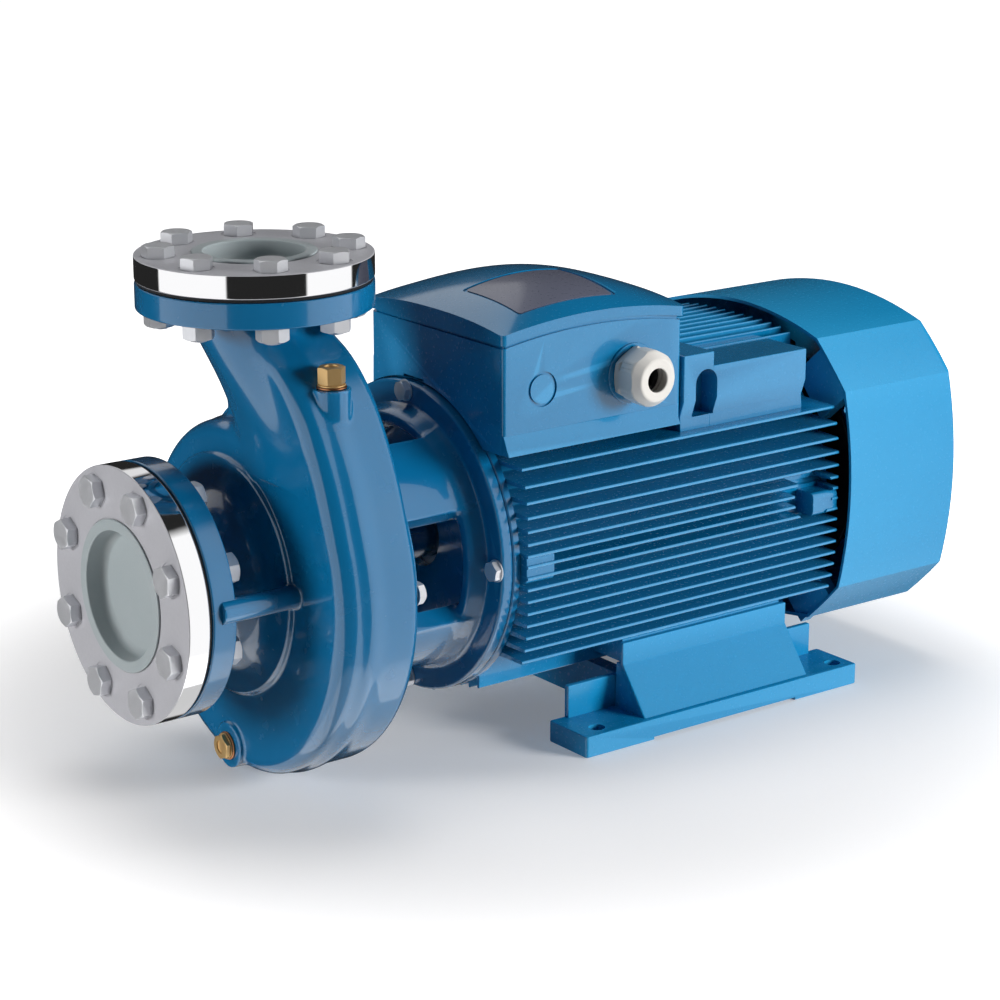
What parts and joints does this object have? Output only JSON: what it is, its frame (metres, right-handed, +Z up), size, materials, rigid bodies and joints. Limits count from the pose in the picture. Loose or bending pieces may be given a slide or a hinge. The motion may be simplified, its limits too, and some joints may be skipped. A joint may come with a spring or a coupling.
{
  "type": "close-coupled centrifugal water pump",
  "caption": "End-suction volute pump with upright discharge, bolted through a lantern to a finned fan-cooled motor with terminal box, cable gland and cast foot.",
  "frame": {"origin": "floor level, under the middle of the bounding box; the shaft axis is at y = 0.0075 and z = 0.180, and the centreline of the discharge at x = -0.2642", "axes": "+Z up, +X along the shaft from the suction flange to the fan cover, -Y the side with the cable gland"},
  "size_m": [0.8236, 0.339, 0.4626],
  "materials": {
    "blue_enamel": "gloss",
    "light_blue_enamel": "gloss",
    "machined_steel": "polished",
    "shaft_steel": "satin",
    "zinc_plate": "polished",
    "turned_brass": "satin",
    "copper_ring": "satin",
    "gasket_fibre": "matte",
    "cap_plastic": "satin",
    "grey_iron": "matte",
    "seal_carbon": "matte",
    "seal_face": "satin",
    "laminated_steel": "matte",
    "copper_winding": "satin",
    "fan_plastic": "matte",
    "board_resin": "matte",
    "gland_plastic": "satin",
    "gland_rubber": "matte"
  },
  "bodies": {
    "casing": {"volute_casing": "blue_enamel", "lantern_bracket": "blue_enamel", "front_end_shield": "blue_enamel", "rear_end_shield": "blue_enamel", "motor_housing": "blue_enamel", "terminal_box": "blue_enamel", "fan_cover": "light_blue_enamel", "motor_foot": "light_blue_enamel", "suction_counter_flange": "machined_steel", "discharge_counter_flange": "machined_steel", "suction_gasket": "gasket_fibre", "discharge_gasket": "gasket_fibre", "casing_gasket": "gasket_fibre", "suction_bolt_1": "zinc_plate", "suction_bolt_2": "zinc_plate", "suction_bolt_3": "zinc_plate", "suction_bolt_4": "zinc_plate", "suction_bolt_5": "zinc_plate", "suction_bolt_6": "zinc_plate", "suction_bolt_7": "zinc_plate", "suction_bolt_8": "zinc_plate", "discharge_bolt_1": "zinc_plate", "discharge_bolt_2": "zinc_plate", "discharge_bolt_3": "zinc_plate", "discharge_bolt_4": "zinc_plate", "discharge_bolt_5": "zinc_plate", "discharge_bolt_6": "zinc_plate", "discharge_bolt_7": "zinc_plate", "discharge_bolt_8": "zinc_plate", "casing_bolt_1": "zinc_plate", "casing_bolt_2": "zinc_plate", "casing_bolt_3": "zinc_plate", "casing_bolt_4": "zinc_plate", "tie_bolt_1": "zinc_plate", "tie_bolt_2": "zinc_plate", "tie_bolt_3": "zinc_plate", "tie_bolt_4": "zinc_plate", "front_bearing": "zinc_plate", "rear_bearing": "zinc_plate", "seal_stationary_ring": "seal_face", "stator_core": "laminated_steel", "stator_winding": "copper_winding", "terminal_board": "board_resin", "cable_gland_body": "gland_plastic"},
    "rotor": {"shaft": "shaft_steel", "impeller_key": "shaft_steel", "impeller": "grey_iron", "impeller_nut": "zinc_plate", "seal_rotating_ring": "seal_carbon", "rotor_core": "laminated_steel", "cooling_fan": "fan_plastic"},
    "fill_plug_seat": {"fill_plug_washer": "copper_ring"},
    "fill_plug": {"fill_plug": "turned_brass"},
    "drain_plug_seat": {"drain_plug_washer": "copper_ring"},
    "drain_plug": {"drain_plug": "turned_brass"},
    "suction_cap": {"suction_cap": "cap_plastic"},
    "discharge_cap": {"discharge_cap": "cap_plastic"},
    "gland_seal": {"cable_gland_seal": "gland_rubber"},
    "gland_nut": {"cable_gland_nut": "gland_plastic"},
    "box_lid": {"terminal_box_lid": "blue_enamel"}
  },
  "joints": [
    {"name": "rotor_spin", "type": "hinge", "parent": "casing", "child": "rotor", "pos_m": [-0.2642, 0.0075, 0.18], "axis": [1, 0, 0], "continuous": true},
    {"name": "fill_plug_travel", "type": "slide", "parent": "casing", "child": "fill_plug_seat", "axis": [0, 0, 1], "range_m": [0, 0.00802]},
    {"name": "fill_plug_turn", "type": "hinge", "parent": "fill_plug_seat", "child": "fill_plug", "pos_m": [-0.2642, -0.1055, 0.359], "axis": [0, 0, 1], "range_deg": [0, 2160]},
    {"name": "drain_plug_travel", "type": "slide", "parent": "casing", "child": "drain_plug_seat", "axis": [-1, 0, 0], "range_m": [0, 0.00802]},
    {"name": "drain_plug_turn", "type": "hinge", "parent": "drain_plug_seat", "child": "drain_plug", "pos_m": [-0.3032, 0.0075, 0.025], "axis": [-1, 0, 0], "range_deg": [0, 2160]},
    {"name": "gland_travel", "type": "slide", "parent": "casing", "child": "gland_seal", "axis": [0, -1, 0], "range_m": [0, 0.00749]},
    {"name": "gland_turn", "type": "hinge", "parent": "gland_seal", "child": "gland_nut", "pos_m": [0.0358, -0.1425, 0.331], "axis": [0, -1, 0], "range_deg": [0, 1800]},
    {"name": "suction_cap_pull", "type": "slide", "parent": "casing", "child": "suction_cap", "axis": [-1, 0, 0], "range_m": [0, 0.04]},
    {"name": "discharge_cap_pull", "type": "slide", "parent": "casing", "child": "discharge_cap", "axis": [0, 0, 1], "range_m": [0, 0.04]},
    {"name": "lid_lift", "type": "slide", "parent": "casing", "child": "box_lid", "axis": [0, 0, 1], "range_m": [0, 0.05]}
  ],
  "couplings": [
    {"joint": "fill_plug_turn", "follows": "fill_plug_travel", "rad_per_m": 4699.5},
    {"joint": "drain_plug_turn", "follows": "drain_plug_travel", "rad_per_m": 4699.5},
    {"joint": "gland_turn", "follows": "gland_travel", "rad_per_m": 4188.8}
  ]
}
